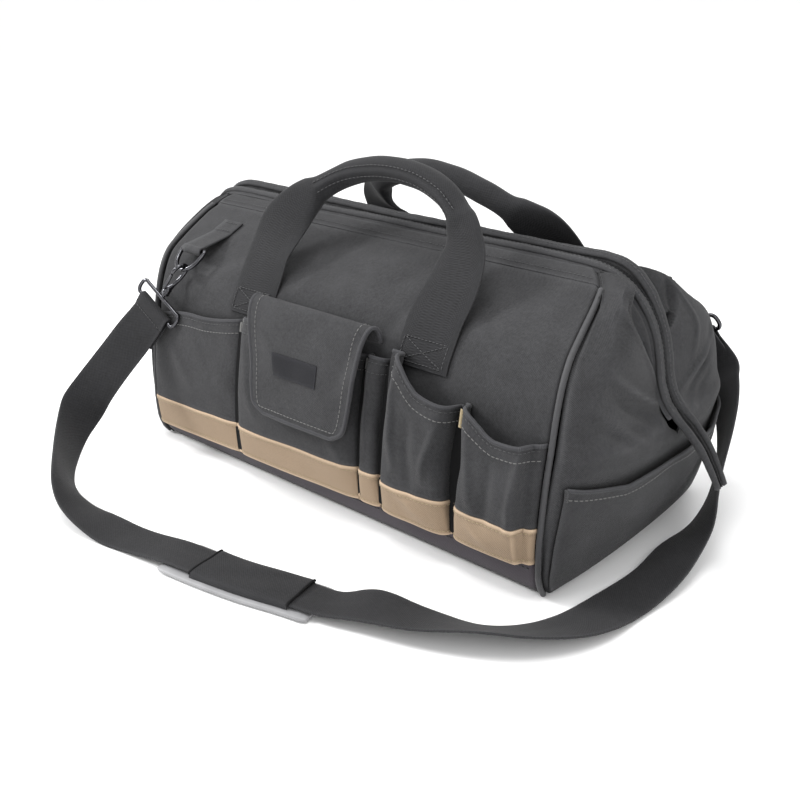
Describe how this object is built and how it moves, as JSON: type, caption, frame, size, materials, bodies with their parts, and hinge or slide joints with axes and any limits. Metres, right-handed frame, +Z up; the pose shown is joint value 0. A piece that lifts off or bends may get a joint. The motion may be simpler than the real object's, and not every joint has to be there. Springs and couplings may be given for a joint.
{
  "type": "gate-mouth tool tote bag",
  "caption": "Black canvas tool tote bag with its mouth zipped shut, two carrying handles, outside pockets with a tan band and a clip-on shoulder strap.",
  "frame": {"origin": "centre of the base, on the plane that the bag rests on", "axes": "+X along the bag towards its right end as seen from the pocketed front, +Y towards the back, +Z up"},
  "size_m": [0.6119, 0.4326, 0.2914],
  "materials": {
    "canvas": "matt woven canvas",
    "webbing": "ribbed webbing",
    "tan": "matt woven cloth",
    "base_cloth": "coated cloth",
    "piping": "satin cord covering",
    "stitching": "sewing thread",
    "metal": "dark nickel",
    "rubber": "smooth",
    "patch": "dense woven patch",
    "zip": "woven zip tape"
  },
  "bodies": {
    "bag": {"front_panel": "canvas", "back_panel": "canvas", "top_band_front": "canvas", "top_band_back": "canvas", "right_end": "canvas", "left_end": "canvas", "right_end_pocket": "canvas", "left_end_pocket": "canvas", "mouth_rim_front": "canvas", "mouth_rim_back": "canvas", "pocket_a": "canvas", "pocket_b": "canvas", "pen_sleeve": "canvas", "pocket_c": "canvas", "pocket_d": "canvas", "pocket_flap": "canvas", "base_panel": "base_cloth", "zip": "zip", "piping_front_right": "piping", "piping_front_left": "piping", "piping_back_right": "piping", "piping_back_left": "piping", "tan_band_a": "tan", "tan_band_b": "tan", "tan_band_sleeve": "tan", "tan_band_c": "tan", "tan_band_d": "tan", "handle_front": "webbing", "ring_tab_front": "webbing", "d_ring_front": "metal", "hook_front": "metal", "hook_loop_front": "metal", "handle_rear": "webbing", "ring_tab_rear": "webbing", "d_ring_rear": "metal", "hook_rear": "metal", "hook_loop_rear": "metal", "shoulder_strap": "webbing", "pad_sleeve": "webbing", "shoulder_pad": "rubber"},
    "gate_front": {"hook_gate_front": "metal"},
    "gate_rear": {"hook_gate_rear": "metal"}
  },
  "joints": [
    {"name": "gate_front_hinge", "type": "hinge", "parent": "bag", "child": "gate_front", "pos_m": [-0.19436, -0.12682, 0.15975], "axis": [-0.8432, 0, 0.5376], "range_deg": [0, 20], "stiffness_Nm_per_rad": 0.02},
    {"name": "gate_rear_hinge", "type": "hinge", "parent": "bag", "child": "gate_rear", "pos_m": [0.19436, 0.12682, 0.15975], "axis": [0.8432, 0, 0.5376], "range_deg": [0, 20], "stiffness_Nm_per_rad": 0.02}
  ]
}
